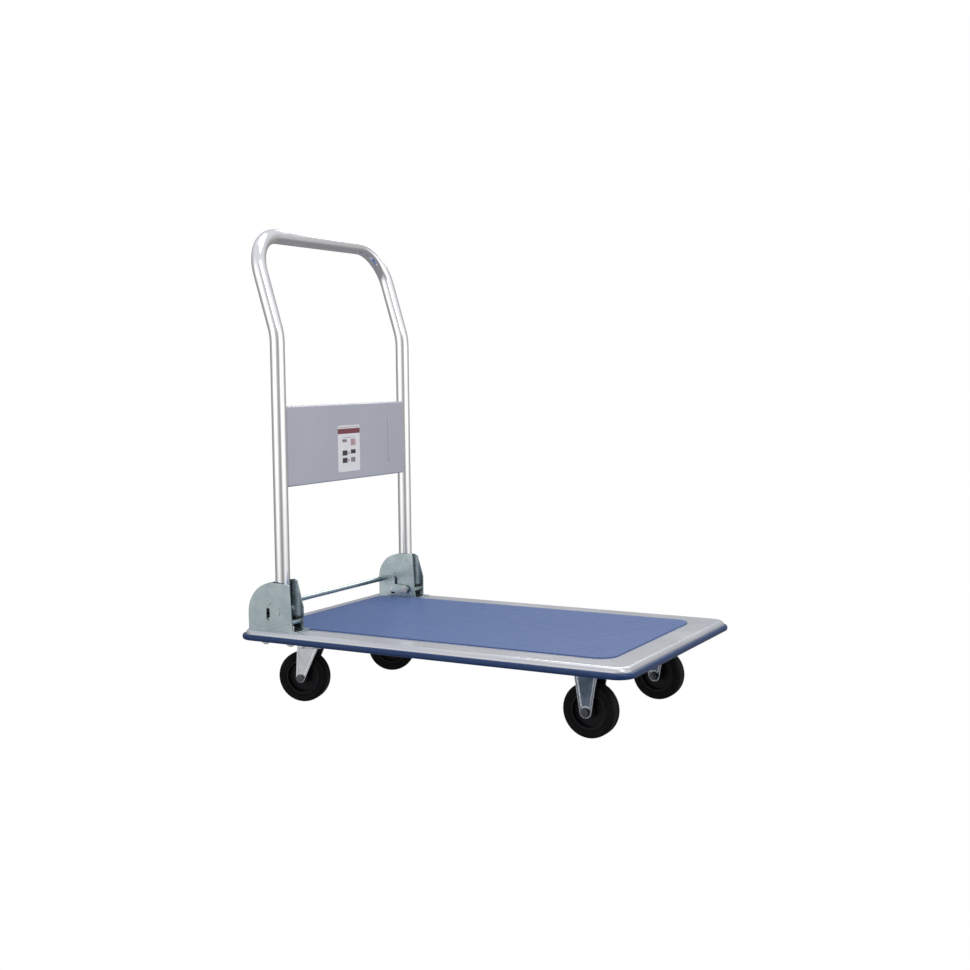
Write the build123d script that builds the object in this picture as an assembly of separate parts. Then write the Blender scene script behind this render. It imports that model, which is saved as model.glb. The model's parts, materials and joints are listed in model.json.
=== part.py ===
from build123d import *
import os
from math import atan2, cos, degrees, hypot, radians, sin

# Folding-handle platform truck. Millimetres, +Z up, +X towards the load end, handle at -X.
# The origin is on the floor under the middle of the deck. Left is +Y for a person pushing.
os.makedirs("parts", exist_ok=True)

# ---- deck -------------------------------------------------------------------------
DECK_LENGTH = 740.0          # over the edge bumper
DECK_WIDTH = 470.0           # over the edge bumper
DECK_CORNER_R = 30.0         # outer corner of the bumper
DECK_SHEET = 2.0
DECK_RIM_R = 8.0             # rolled top edge of the pan
SKIRT_HEIGHT = 14.5          # pan depth, top face to skirt edge
BUMPER_WALL = 6.0
BUMPER_TOP_R = 0.7 * BUMPER_WALL
BUMPER_SOLE_R = 0.6 * BUMPER_WALL
BUMPER_SOLE = 3.0            # thickness under the skirt edge
BUMPER_LIP = 2.5             # inner leg that grips the skirt
BUMPER_LIP_RISE = 6.0
BUMPER_TOP_DROP = 7.5        # bumper top below the deck's top face
MAT_SHEET = 2.0
MAT_EDGE_R = MAT_SHEET / 3
MAT_REAR_BORDER = 35.0       # bumper's rear face to the mat
MAT_FRONT_BORDER = 54.0
MAT_HINGE_GAP = 0.5
MAT_CORNER_R = 30.0

# ---- stiffeners under the deck ----------------------------------------------------
HAT_SHEET = 2.0
HAT_FOLD_R = 1.5 * HAT_SHEET
CROSS_DEPTH = 18.0           # deck underside to caster seat
CROSS_END_GAP = 15.0         # crossmember end to skirt
FRONT_CROSS_WEB = 104.0      # web width along X
REAR_CROSS_WEB = 134.0
HAT_FLANGE = 12.0
HAT_END_GAP = 1.0            # rear flange to the rim's inside radius
RAIL_DEPTH = 14.0
RAIL_WEB = 50.0
RAIL_FROM_CASTER = 61.0      # along Y, centre to centre
RAIL_END_GAP = 3.0

# ---- casters ----------------------------------------------------------------------
WHEEL_R = 45.0
TYRE_WIDTH = 28.0
TYRE_SHOULDER_R = 6.0
TYRE_SECTION = 14.0          # rubber thickness, tread to core
CORE_WIDTH = 25.0
CORE_RIM = 4.0
CORE_WEB = 8.0
HUB_R = 12.0
BUSH_R = 7.0
HUB_LENGTH = 36.0
HUB_SIDE_GAP = 1.0
AXLE_R = 4.0
RUN_CLEAR = 0.05             # radial clearance of every running fit
FORK_SHEET = 3.0
PLATE_LENGTH = 90.0          # caster top plate along X
PLATE_WIDTH = 72.0
PLATE_BOLTS_X = 70.0
PLATE_BOLTS_Y = 50.0
PLATE_CORNER_R = 8.0
BOLT_R = 4.0
BOLT_CLEAR = 0.25
BOLT_AF = 13.0
BOLT_HEAD = 5.3
NUT_HEIGHT = 6.5
BOLT_STICKOUT = 2.0
DECK_OVER_WHEELS = 45.0      # deck's top face above the wheels
FRONT_CASTER_INSET = 103.0   # deck end to the kingpin or plate centre
REAR_CASTER_INSET = 105.0
CASTER_SIDE_INSET = 92.0
FRONT_LEG_TOP = 42.0
FRONT_LEG_END_R = 10.0
AXLE_AF = 12.0
AXLE_SEAT_R = AXLE_AF / 2 + 2.5
AXLE_HEAD = 5.0
AXLE_NUT = 7.0
AXLE_STICKOUT = 2.5
DISH_MARGIN = 4.0            # plain border round the pressed dish in a fork leg
DISH_DEPTH = 1.4

# swivel head
SWIVEL_TRAIL = 22.0
SWIVEL_REST = {"left": 25.0, "right": 15.0}   # degrees the wheel trails away from -X towards -Y
RACE_R = 22.0
RACE_WALL = 5.0
BALL_R = 3.0
BALL_COUNT = 18
BALL_CLEAR = 0.15
RACE_GAP = 1.2
BALL_DROP = 6.0              # top plate's underside to the balls' centres
CROWN_DROP = 10.0            # top plate's underside to the crown's top face
CROWN_R = 28.0
SWIVEL_LEG_FRONT = 12.0
SWIVEL_LEG_REAR = 27.0
SWIVEL_LEG_END_R = 8.0
KINGPIN_R = 6.0
KINGPIN_HEAD_R = 11.0
KINGPIN_HEAD = 5.0
AXIAL_GAP = 0.3

# ---- handle -----------------------------------------------------------------------
TUBE_R = 12.7
TUBE_WALL = 1.6
HANDLE_SIDE_INSET = 37.0     # deck side to the tube's centre line
HANDLE_AHEAD = 61.5          # hinge's rear edge to the tube's centre line
PIVOT_RISE = 33.0            # above the deck, as every rise below
TAIL = 12.0                  # tube end below the pivot
PLUG_FLANGE = 2.0
PLUG_DEPTH = 3.5
BEND_RISE = 510.0
BEND_R = 100.0
TOP_LEAN = 53.0              # top bar's centre line behind the uprights
TOP_RISE = 683.7
TOP_CORNER_R = 72.0
BUSH_WALL = 2.0
PIVOT_PIN_R = 5.0
BUSH_SIDE_GAP = 0.5

# ---- panel between the legs -------------------------------------------------------
PANEL_RISE = 247.5           # lower edge
PANEL_HEIGHT = 139.5
PANEL_SHEET = 1.5
PANEL_DEPTH = 17.0
PANEL_FRONT_OFFSET = 8.0     # sheet's front face ahead of the tube's centre line
PANEL_EDGE_R = 3.0
PANEL_CORNER_R = 4.0
BEAD_INSET = 53.5            # from the panel's +Y end
BEAD_LENGTH = 86.0
BEAD_R = 3.0
BEAD_RISE = 1.8
LABEL_WIDTH = 70.0
LABEL_HEIGHT = 85.0
LABEL_Y = -2.0
LABEL_DROP = 12.0            # below the panel's middle
LABEL_SHEET = 0.3
LABEL_CORNER_R = 3.0
RIVET_R = 2.4
RIVET_HEAD_R = 4.2
RIVET_HEAD = 1.6
RIVET_END_MARGIN = 24.0
RIVET_TAIL = 3.0

# ---- hinge brackets ---------------------------------------------------------------
HINGE_SHEET = 2.3
HINGE_SIDE_GAP = 4.0         # tube to cheek
HINGE_INSET = 16.0           # deck end to the outer cheek's rear edge
INNER_SETBACK = 11.0         # inner cheek and web ahead of that edge
OUTER_ARC_R = 55.0
OUTER_ARC_RISE = 84.0        # top of the quarter round
OUTER_TOP_RISE = 82.0        # front upper corner
INNER_ARC_R = 48.0
INNER_ARC_RISE = 86.0
INNER_TOP_RISE = 88.0
FRONT_TOP_REACH = 89.0       # from the outer cheek's rear edge
FRONT_FOOT_REACH = 94.0
BASE_REACH = 104.0
LEAN_TOP_REACH = 78.0        # +Y cheek, whose front edge leans back above a knee
LEAN_KNEE_REACH = 91.0
LEAN_KNEE_RISE = 40.0
HINGE_CORNER_R = 5.0
STOP_GAP = 0.6               # stop pin and bracket web behind the upright tube
STOP_R = 4.0
STOP_RISE = 15.8             # above the pivot
REST_R = 4.0
REST_REACH = 84.0            # from the outer cheek's rear edge
REST_GAP = 1.4               # below the folded tube
PIVOT_HEAD = 0.8
PIVOT_HEAD_R = 6.5
PIN_PROUD = 0.8
BOLT_REACHES = (22.0, 76.0)  # from the outer cheek's rear edge
WINDOW_WIDTH = 7.0           # opening in the outer cheek beside the latch
WINDOW_RISE = 17.5
WINDOW_HEIGHT = 22.0
SPACER_WALL = 3.0

# ---- foot release -----------------------------------------------------------------
PEDAL_ROD_R = 4.5
PEDAL_REACH = 17.0           # from the outer cheek's rear edge
PEDAL_RISE = 34.0
ARM_SHEET = 3.0
ARM_GAP = 2.0                # arm to bracket
ARM_PIVOT_REACH = 74.0
ARM_PIVOT_RISE = 17.0
ARM_KNEE_BACK = 29.0         # knee behind and above the arm's pivot
ARM_KNEE_LIFT = 18.5
ARM_KNEE_R = 6.0
ARM_EYE_R = 8.0
ARM_END_R = 6.5
LATCH_R = 4.0
LATCH_GAP = 1.0              # latch pin to the tube end's sweep
LATCH_BACK = 19.0            # behind the pivot
PEDAL_TRAVEL = 12.0          # degrees
SLOT_SIDE_CLEAR = 1.2
SLOT_END_CLEAR = 3.0
ARM_PIN_R = 4.0
ARM_PIN_HEAD_R = 7.0
ARM_PIN_HEAD = 2.2
ARM_COLLAR_R = 6.5
SPRING_WIRE_R = 0.7
SPRING_R = 5.5
SPRING_TURNS = 4.0
SPRING_END_GAP = 0.3

# ---- worked out -------------------------------------------------------------------
DECK_TOP = 2 * WHEEL_R + DECK_OVER_WHEELS
CORE_R = WHEEL_R - TYRE_SECTION
FRONT_CASTER_X = DECK_LENGTH / 2 - FRONT_CASTER_INSET
REAR_CASTER_X = -DECK_LENGTH / 2 + REAR_CASTER_INSET
CASTER_Y = DECK_WIDTH / 2 - CASTER_SIDE_INSET
RAIL_Y = CASTER_Y - RAIL_FROM_CASTER
HANDLE_Y = DECK_WIDTH / 2 - HANDLE_SIDE_INSET
HINGE_REAR_X = -DECK_LENGTH / 2 + HINGE_INSET
HINGE_WIDTH = 2 * (TUBE_R + HINGE_SIDE_GAP + HINGE_SHEET)
HINGE_BOLT_X = [HINGE_REAR_X + reach for reach in BOLT_REACHES]
HANDLE_X = HINGE_REAR_X + HANDLE_AHEAD
PIVOT_Z = DECK_TOP + PIVOT_RISE
BEND_Z = DECK_TOP + BEND_RISE
TOP_X = HANDLE_X - TOP_LEAN
TOP_Z = DECK_TOP + TOP_RISE
PANEL_BOTTOM = DECK_TOP + PANEL_RISE
PANEL_TOP = PANEL_BOTTOM + PANEL_HEIGHT
PANEL_MIDDLE = (PANEL_TOP + PANEL_BOTTOM) / 2
REST_X = HINGE_REAR_X + REST_REACH
PEDAL_X = HINGE_REAR_X + PEDAL_REACH
PEDAL_Z = DECK_TOP + PEDAL_RISE
ARM_PIVOT_X = HINGE_REAR_X + ARM_PIVOT_REACH
ARM_PIVOT_Z = DECK_TOP + ARM_PIVOT_RISE
PAN_LENGTH = DECK_LENGTH - 2 * BUMPER_WALL
PAN_WIDTH = DECK_WIDTH - 2 * BUMPER_WALL
PAN_CORNER_R = DECK_CORNER_R - BUMPER_WALL
DECK_UNDER = DECK_TOP - DECK_SHEET
SKIRT_EDGE = DECK_TOP - SKIRT_HEIGHT
CASTER_SEAT = DECK_UNDER - CROSS_DEPTH
PLATE_UNDER = CASTER_SEAT - FORK_SHEET
CROSS_WEB_TOP = CASTER_SEAT + HAT_SHEET
CROSS_HALF = PAN_WIDTH / 2 - DECK_SHEET - CROSS_END_GAP
FORK_HALF_GAP = HUB_LENGTH / 2 + HUB_SIDE_GAP
LEG_OUTER = FORK_HALF_GAP + FORK_SHEET
HINGE_INNER = HANDLE_Y - HINGE_WIDTH / 2
HINGE_OUTER = HANDLE_Y + HINGE_WIDTH / 2
HINGE_FLOOR = DECK_TOP + HINGE_SHEET
TUBE_END_Z = PIVOT_Z - TAIL
SWEEP_R = hypot(TAIL + PLUG_FLANGE, TUBE_R)
STOP_X = HANDLE_X - TUBE_R - STOP_GAP - STOP_R
LATCH_X = HANDLE_X - LATCH_BACK
LATCH_Z = PIVOT_Z - (((SWEEP_R + LATCH_GAP + LATCH_R) ** 2 - LATCH_BACK**2) ** 0.5)
ARM_OUTER = HINGE_INNER - ARM_GAP
ARM_INNER = ARM_OUTER - ARM_SHEET
PANEL_FACE_X = HANDLE_X + PANEL_FRONT_OFFSET
PANEL_HALF = HANDLE_Y - TUBE_R
BEAD_Y = PANEL_HALF - BEAD_INSET
REAR_CROSS_MIN = -PAN_LENGTH / 2 + DECK_RIM_R + HAT_END_GAP + HAT_FLANGE
SIDES = {"left": 1, "right": -1}


# ---- small helpers ----------------------------------------------------------------
def block(x0, x1, y0, y1, z0, z1):
    """Box between two corners."""
    middle = Pos((x0 + x1) / 2, (y0 + y1) / 2, (z0 + z1) / 2)
    return middle * Box(x1 - x0, y1 - y0, z1 - z0)


def rod_z(x, y, r, z0, z1):
    """Upright round bar."""
    return Pos(x, y, (z0 + z1) / 2) * Cylinder(r, z1 - z0)


def rod_y(x, z, r, y0, y1):
    """Round bar along Y."""
    middle = Pos(x, (y0 + y1) / 2, z) * Rot(90, 0, 0)
    return middle * Cylinder(r, abs(y1 - y0))


def hex_z(x, y, across, z0, z1):
    """Upright hexagon bar."""
    outline = Pos(x, y, z0) * RegularPolygon(across / 2, 6, major_radius=False)
    return extrude(outline, z1 - z0)


def hex_y(x, z, across, y0, y1):
    """Hexagon bar along Y."""
    outline = RegularPolygon(across / 2, 6, major_radius=False)
    return plate_y(Pos(x, z) * outline, y0, y1)


def plate_y(outline, y0, y1):
    """Plate with an outline drawn in X and Z, between two Y values."""
    low, high = min(y0, y1), max(y0, y1)
    return extrude(Plane.XZ.offset(-high) * outline, high - low)


def rounded_slab(length, width, corner, z0, z1, x=0.0, y=0.0):
    """Slab with rounded upright corners."""
    return extrude(Pos(x, y, z0) * RectangleRounded(length, width, corner), z1 - z0)


def top_edges(solid):
    return solid.edges().group_by(Axis.Z)[-1]


def bottom_edges(solid):
    return solid.edges().group_by(Axis.Z)[0]


def hull_outline(circles):
    """Flat outline stretched round circles given as (x, y, radius)."""
    edges = []
    for x, y, r in circles:
        edges += (Pos(x, y) * Circle(r)).edges()
    return make_hull(edges)


def save(name, *solids):
    """Write one node, made of one or more separate solids."""
    loose = [piece for solid in solids for piece in solid.solids()]
    shape = loose[0] if len(loose) == 1 else Compound(children=loose)
    shape.label = name
    export_step(shape, "parts/" + name + ".step")


# ---- deck -------------------------------------------------------------------------
def pan_envelope(inset=0.0):
    """Outside of the deck pan, or its hollow when inset by the sheet."""
    length = PAN_LENGTH - 2 * inset
    width = PAN_WIDTH - 2 * inset
    slab = rounded_slab(length, width, PAN_CORNER_R - inset, SKIRT_EDGE, DECK_TOP - inset)
    return fillet(top_edges(slab), DECK_RIM_R - inset)


def deck_plate():
    pan = pan_envelope() - pan_envelope(DECK_SHEET)
    for side in SIDES.values():
        for x in HINGE_BOLT_X:
            pan -= rod_z(x, side * HANDLE_Y, BOLT_R + BOLT_CLEAR, DECK_UNDER - 1, DECK_TOP + 1)
    return pan


def deck_mat():
    rear = -DECK_LENGTH / 2 + MAT_REAR_BORDER
    front = DECK_LENGTH / 2 - MAT_FRONT_BORDER
    width = 2 * (HINGE_INNER - MAT_HINGE_GAP)
    middle = (rear + front) / 2
    mat = rounded_slab(front - rear, width, MAT_CORNER_R, DECK_TOP, DECK_TOP + MAT_SHEET, middle)
    return fillet(top_edges(mat), MAT_EDGE_R)


def edge_bumper():
    """Moulded strip round the deck that hooks under the skirt and up its inside."""
    bottom = SKIRT_EDGE - BUMPER_SOLE
    top = DECK_TOP - BUMPER_TOP_DROP
    strip = rounded_slab(DECK_LENGTH, DECK_WIDTH, DECK_CORNER_R, bottom, top)
    strip = fillet(top_edges(strip), BUMPER_TOP_R)
    strip = fillet(bottom_edges(strip), BUMPER_SOLE_R)
    inset = DECK_SHEET + BUMPER_LIP
    hollow = rounded_slab(
        PAN_LENGTH - 2 * inset, PAN_WIDTH - 2 * inset, PAN_CORNER_R - inset, bottom - 1, top + 1
    )
    skirt_hollow = rounded_slab(
        PAN_LENGTH - 2 * DECK_SHEET,
        PAN_WIDTH - 2 * DECK_SHEET,
        PAN_CORNER_R - DECK_SHEET,
        SKIRT_EDGE,
        SKIRT_EDGE + BUMPER_LIP_RISE,
    )
    return strip - pan_envelope() - hollow + (skirt_hollow - hollow)


# ---- stiffeners -------------------------------------------------------------------
def hat_along_y(x0, x1, half_length, seat):
    """Hat section across the truck, its flanges under the deck."""
    shell = block(x0, x1, -half_length, half_length, seat, DECK_UNDER)
    inside = block(
        x0 + HAT_SHEET, x1 - HAT_SHEET, -half_length, half_length, seat + HAT_SHEET, DECK_UNDER
    )
    rear_flange = block(
        x0 - HAT_FLANGE, x0, -half_length, half_length, DECK_UNDER - HAT_SHEET, DECK_UNDER
    )
    front_flange = block(
        x1, x1 + HAT_FLANGE, -half_length, half_length, DECK_UNDER - HAT_SHEET, DECK_UNDER
    )
    folds = shell.edges().filter_by(Axis.Y).group_by(Axis.Z)[0]
    return fillet(folds, HAT_FOLD_R) - inside + rear_flange + front_flange


def plate_bolt_places(caster_x, side):
    """Four bolt places of one caster plate."""
    places = []
    for x in (-PLATE_BOLTS_X / 2, PLATE_BOLTS_X / 2):
        for y in (-PLATE_BOLTS_Y / 2, PLATE_BOLTS_Y / 2):
            places.append((caster_x + x, side * CASTER_Y + y))
    return places


def front_cross_span():
    return FRONT_CASTER_X - FRONT_CROSS_WEB / 2, FRONT_CASTER_X + FRONT_CROSS_WEB / 2


def rear_cross_span():
    return REAR_CROSS_MIN, REAR_CROSS_MIN + REAR_CROSS_WEB


def crossmember(span, caster_x, extra_places=()):
    hat = hat_along_y(span[0], span[1], CROSS_HALF, CASTER_SEAT)
    places = list(extra_places)
    for side in SIDES.values():
        places += plate_bolt_places(caster_x, side)
    for x, y in places:
        hat -= rod_z(x, y, BOLT_R + BOLT_CLEAR, CASTER_SEAT - 1, CROSS_WEB_TOP + 1)
    return hat


def hinge_bolt_places():
    return [(x, side * HANDLE_Y) for side in SIDES.values() for x in HINGE_BOLT_X]


def deck_rail(side):
    """Hat section along the truck between the crossmembers."""
    x0 = rear_cross_span()[1] + HAT_FLANGE + RAIL_END_GAP
    x1 = front_cross_span()[0] - HAT_FLANGE - RAIL_END_GAP
    seat = DECK_UNDER - RAIL_DEPTH
    y0 = side * RAIL_Y - RAIL_WEB / 2
    y1 = side * RAIL_Y + RAIL_WEB / 2
    shell = block(x0, x1, y0, y1, seat, DECK_UNDER)
    folds = shell.edges().filter_by(Axis.X).group_by(Axis.Z)[0]
    inside = block(x0, x1, y0 + HAT_SHEET, y1 - HAT_SHEET, seat + HAT_SHEET, DECK_UNDER)
    low = block(x0, x1, y0 - HAT_FLANGE, y0, DECK_UNDER - HAT_SHEET, DECK_UNDER)
    high = block(x0, x1, y1, y1 + HAT_FLANGE, DECK_UNDER - HAT_SHEET, DECK_UNDER)
    return fillet(folds, HAT_FOLD_R) - inside + low + high


# ---- bolts ------------------------------------------------------------------------
def bolt_down(x, y, seat, nut_top):
    """Hexagon bolt with its head on a seat and its thread end below a nut."""
    shank = rod_z(x, y, BOLT_R, nut_top - NUT_HEIGHT - BOLT_STICKOUT, seat)
    return hex_z(x, y, BOLT_AF, seat, seat + BOLT_HEAD) + shank


def nut_below(x, y, nut_top):
    nut = hex_z(x, y, BOLT_AF, nut_top - NUT_HEIGHT, nut_top)
    return nut - rod_z(x, y, BOLT_R, nut_top - NUT_HEIGHT - 1, nut_top + 1)


def caster_places():
    places = []
    for side in SIDES.values():
        places += plate_bolt_places(FRONT_CASTER_X, side)
        places += plate_bolt_places(REAR_CASTER_X, side)
    return places


# ---- wheels, in the caster's own frame: kingpin axis at X = Y = 0, floor at Z = 0 ------
def along_axle(x, r, half):
    return rod_y(x, WHEEL_R, r, -half, half)


def rim_edges(solid):
    """The two largest circles of a drum that lies along Y."""
    circles = solid.edges().filter_by(GeomType.CIRCLE)
    return circles.sort_by(lambda edge: edge.radius)[-2:]


def tyre(x):
    drum = along_axle(x, WHEEL_R, TYRE_WIDTH / 2)
    drum = fillet(rim_edges(drum), TYRE_SHOULDER_R)
    return drum - along_axle(x, CORE_R, TYRE_WIDTH)


def wheel_core(x):
    core = along_axle(x, CORE_R, CORE_WIDTH / 2)
    pocket = along_axle(x, CORE_R - CORE_RIM, CORE_WIDTH)
    pocket -= along_axle(x, CORE_R, CORE_WEB / 2)
    core = core - pocket + along_axle(x, HUB_R, HUB_LENGTH / 2)
    return core - along_axle(x, BUSH_R, HUB_LENGTH)


def wheel_bush(x):
    sleeve = along_axle(x, BUSH_R, HUB_LENGTH / 2)
    return sleeve - along_axle(x, AXLE_R + RUN_CLEAR, HUB_LENGTH)


def axle_bolt(x, side):
    """Bolt along Y with its head outboard."""
    end = -side * (LEG_OUTER + AXLE_NUT + AXLE_STICKOUT)
    shank = rod_y(x, WHEEL_R, AXLE_R, min(end, side * LEG_OUTER), max(end, side * LEG_OUTER))
    head = hex_y(x, WHEEL_R, AXLE_AF, side * LEG_OUTER, side * (LEG_OUTER + AXLE_HEAD))
    return shank + head


def axle_nut(x, side):
    nut = hex_y(x, WHEEL_R, AXLE_AF, -side * LEG_OUTER, -side * (LEG_OUTER + AXLE_NUT))
    return nut - along_axle(x, AXLE_R, 2 * LEG_OUTER)


def fork_legs(outline, axle_x):
    """Pair of pressed legs with a dished face and axle holes."""
    legs = plate_y(outline, FORK_HALF_GAP, LEG_OUTER) + plate_y(outline, -LEG_OUTER, -FORK_HALF_GAP)
    dish = offset(outline, -DISH_MARGIN)
    seat = Pos(axle_x, WHEEL_R) * Circle(AXLE_SEAT_R)
    dish -= seat
    legs -= plate_y(dish, LEG_OUTER - DISH_DEPTH, LEG_OUTER + 1)
    legs -= plate_y(dish, -LEG_OUTER - 1, -LEG_OUTER + DISH_DEPTH)
    return legs - along_axle(axle_x, AXLE_R, 2 * LEG_OUTER)


def caster_plate():
    """Bolting plate, shared by the rigid and the swivel casters."""
    plate = rounded_slab(PLATE_LENGTH, PLATE_WIDTH, PLATE_CORNER_R, PLATE_UNDER, CASTER_SEAT)
    for x, y in plate_bolt_places(0.0, 0):
        plate -= rod_z(x, y, BOLT_R + BOLT_CLEAR, PLATE_UNDER - 1, CASTER_SEAT + 1)
    return plate


def rigid_fork():
    half = FRONT_LEG_TOP / 2
    top = PLATE_UNDER + FORK_SHEET / 2
    corner = 0.5
    outline = hull_outline(
        [
            (-half + corner, top - corner, corner),
            (half - corner, top - corner, corner),
            (0.0, WHEEL_R, FRONT_LEG_END_R),
        ]
    )
    return caster_plate() + fork_legs(outline, 0.0)


def swivel_fork():
    """Crown with the lower ball race and two trailing legs."""
    crown_top = PLATE_UNDER - CROWN_DROP
    crown_under = crown_top - FORK_SHEET
    corner = 1.0
    outline = hull_outline(
        [
            (SWIVEL_LEG_FRONT - corner, crown_top - corner, corner),
            (-SWIVEL_LEG_REAR + corner, crown_top - corner, corner),
            (-SWIVEL_TRAIL, WHEEL_R, SWIVEL_LEG_END_R),
        ]
    )
    crown = rod_z(0, 0, CROWN_R, crown_under, crown_top)
    crown += block(
        -SWIVEL_LEG_REAR + 2, SWIVEL_LEG_FRONT - 2, -LEG_OUTER, LEG_OUTER, crown_under, crown_top
    )
    ball_z = PLATE_UNDER - BALL_DROP
    race_top = ball_z - RACE_GAP / 2
    race = rod_z(0, 0, RACE_R + RACE_WALL, crown_top, race_top)
    race -= rod_z(0, 0, RACE_R - RACE_WALL, crown_top - 1, race_top + 1)
    race -= Pos(0, 0, ball_z) * Torus(RACE_R, BALL_R + BALL_CLEAR)
    fork = crown + race + fork_legs(outline, -SWIVEL_TRAIL)
    return fork - rod_z(0, 0, KINGPIN_R + RUN_CLEAR, crown_under - 1, crown_top + 1)


def swivel_plate():
    """Bolting plate with the upper ball race."""
    ball_z = PLATE_UNDER - BALL_DROP
    race_under = ball_z + RACE_GAP / 2
    race = rod_z(0, 0, RACE_R + RACE_WALL, race_under, PLATE_UNDER)
    race -= rod_z(0, 0, RACE_R - RACE_WALL, race_under - 1, PLATE_UNDER)
    race -= Pos(0, 0, ball_z) * Torus(RACE_R, BALL_R + RUN_CLEAR)
    plate = caster_plate() + race
    return plate - rod_z(0, 0, KINGPIN_R, PLATE_UNDER - 1, CASTER_SEAT + 1)


def swivel_balls():
    ball_z = PLATE_UNDER - BALL_DROP
    balls = []
    for i in range(BALL_COUNT):
        angle = radians(360.0 * i / BALL_COUNT)
        balls.append(Pos(RACE_R * cos(angle), RACE_R * sin(angle), ball_z) * Sphere(BALL_R))
    return balls


def kingpin():
    """Riveted pin: flush in the top plate, headed under the crown."""
    head_top = PLATE_UNDER - CROWN_DROP - FORK_SHEET - AXIAL_GAP
    head = rod_z(0, 0, KINGPIN_HEAD_R, head_top - KINGPIN_HEAD, head_top)
    head = fillet(bottom_edges(head), KINGPIN_HEAD / 2)
    return head + rod_z(0, 0, KINGPIN_R, head_top, CASTER_SEAT)


# ---- handle -----------------------------------------------------------------------
def handle_path(start_z):
    """Centre line from one tube end over the top bar to the other."""
    points = [
        (HANDLE_X, -HANDLE_Y, start_z),
        (HANDLE_X, -HANDLE_Y, BEND_Z),
        (TOP_X, -HANDLE_Y, TOP_Z),
        (TOP_X, HANDLE_Y, TOP_Z),
        (HANDLE_X, HANDLE_Y, BEND_Z),
        (HANDLE_X, HANDLE_Y, start_z),
    ]
    return FilletPolyline(*points, radius=[BEND_R, TOP_CORNER_R, TOP_CORNER_R, BEND_R])


def handle_bar(radius):
    start = Plane(origin=(HANDLE_X, -HANDLE_Y, TUBE_END_Z), z_dir=(0, 0, 1))
    return sweep(start * Circle(radius), path=handle_path(TUBE_END_Z))


def rivet_heights():
    return PANEL_BOTTOM + RIVET_END_MARGIN, PANEL_TOP - RIVET_END_MARGIN


def handle_tube():
    tube = handle_bar(TUBE_R) - handle_bar(TUBE_R - TUBE_WALL)
    bush_r = PIVOT_PIN_R + RUN_CLEAR + BUSH_WALL
    for side in SIDES.values():
        outer = side * (HANDLE_Y + TUBE_R + 1)
        inner = side * (HANDLE_Y - TUBE_R - 1)
        tube -= rod_y(HANDLE_X, PIVOT_Z, bush_r, inner, outer)
        for z in rivet_heights():
            tube -= rod_y(HANDLE_X, z, RIVET_R, inner, side * HANDLE_Y)
    return tube


def tube_plug(side):
    flange = rod_z(HANDLE_X, side * HANDLE_Y, TUBE_R, TUBE_END_Z - PLUG_FLANGE, TUBE_END_Z)
    insert_r = TUBE_R - TUBE_WALL
    insert = rod_z(HANDLE_X, side * HANDLE_Y, insert_r, TUBE_END_Z, TUBE_END_Z + PLUG_DEPTH)
    return fillet(bottom_edges(flange), PLUG_FLANGE / 3) + insert


def pivot_bush(side):
    """Sleeve welded through the tube that turns on the pivot pin."""
    y0 = side * (HINGE_INNER + HINGE_SHEET + BUSH_SIDE_GAP)
    y1 = side * (HINGE_OUTER - HINGE_SHEET - BUSH_SIDE_GAP)
    outer = rod_y(HANDLE_X, PIVOT_Z, PIVOT_PIN_R + RUN_CLEAR + BUSH_WALL, y0, y1)
    return outer - rod_y(HANDLE_X, PIVOT_Z, PIVOT_PIN_R + RUN_CLEAR, y0, y1)


def handle_panel():
    """Pressed tray, open at the back, with one raised bead."""
    height = PANEL_HEIGHT
    face = Plane(origin=(PANEL_FACE_X, 0, PANEL_MIDDLE), x_dir=(0, 1, 0), z_dir=(1, 0, 0))
    tray = extrude(face * RectangleRounded(2 * PANEL_HALF, height, PANEL_CORNER_R), -PANEL_DEPTH)
    tray = fillet(tray.edges().group_by(Axis.X)[-1], PANEL_EDGE_R)
    hollow = extrude(
        face.offset(-PANEL_SHEET)
        * RectangleRounded(
            2 * (PANEL_HALF - PANEL_SHEET), height - 2 * PANEL_SHEET, PANEL_CORNER_R - PANEL_SHEET
        ),
        -PANEL_DEPTH,
    )
    hollow = fillet(hollow.edges().group_by(Axis.X)[-1], PANEL_EDGE_R - PANEL_SHEET)
    bead_r = (BEAD_R**2 + BEAD_RISE**2) / (2 * BEAD_RISE)
    bead_x = PANEL_FACE_X + BEAD_RISE - bead_r
    straight = BEAD_LENGTH / 2 - BEAD_R
    bead = rod_z(bead_x, BEAD_Y, bead_r, PANEL_MIDDLE - straight, PANEL_MIDDLE + straight)
    for end in (-straight, straight):
        bead += Pos(bead_x, BEAD_Y, PANEL_MIDDLE + end) * Sphere(bead_r)
    keep = PANEL_FACE_X - PANEL_SHEET / 2
    bead &= block(keep, keep + bead_r, BEAD_Y - bead_r, BEAD_Y + bead_r, PANEL_BOTTOM, PANEL_TOP)
    panel = tray - hollow + bead
    for side in SIDES.values():
        for z in rivet_heights():
            panel -= rod_y(HANDLE_X, z, RIVET_R, side * (PANEL_HALF - 2 * PANEL_SHEET), side * HANDLE_Y)
    return panel


def panel_rivets():
    rivets = []
    for side in SIDES.values():
        inside = PANEL_HALF - PANEL_SHEET
        for z in rivet_heights():
            head = rod_y(HANDLE_X, z, RIVET_HEAD_R, side * (inside - RIVET_HEAD), side * inside)
            tail_y = PANEL_HALF + TUBE_WALL + RIVET_TAIL
            rivets.append(head + rod_y(HANDLE_X, z, RIVET_R, side * inside, side * tail_y))
    return rivets


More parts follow.
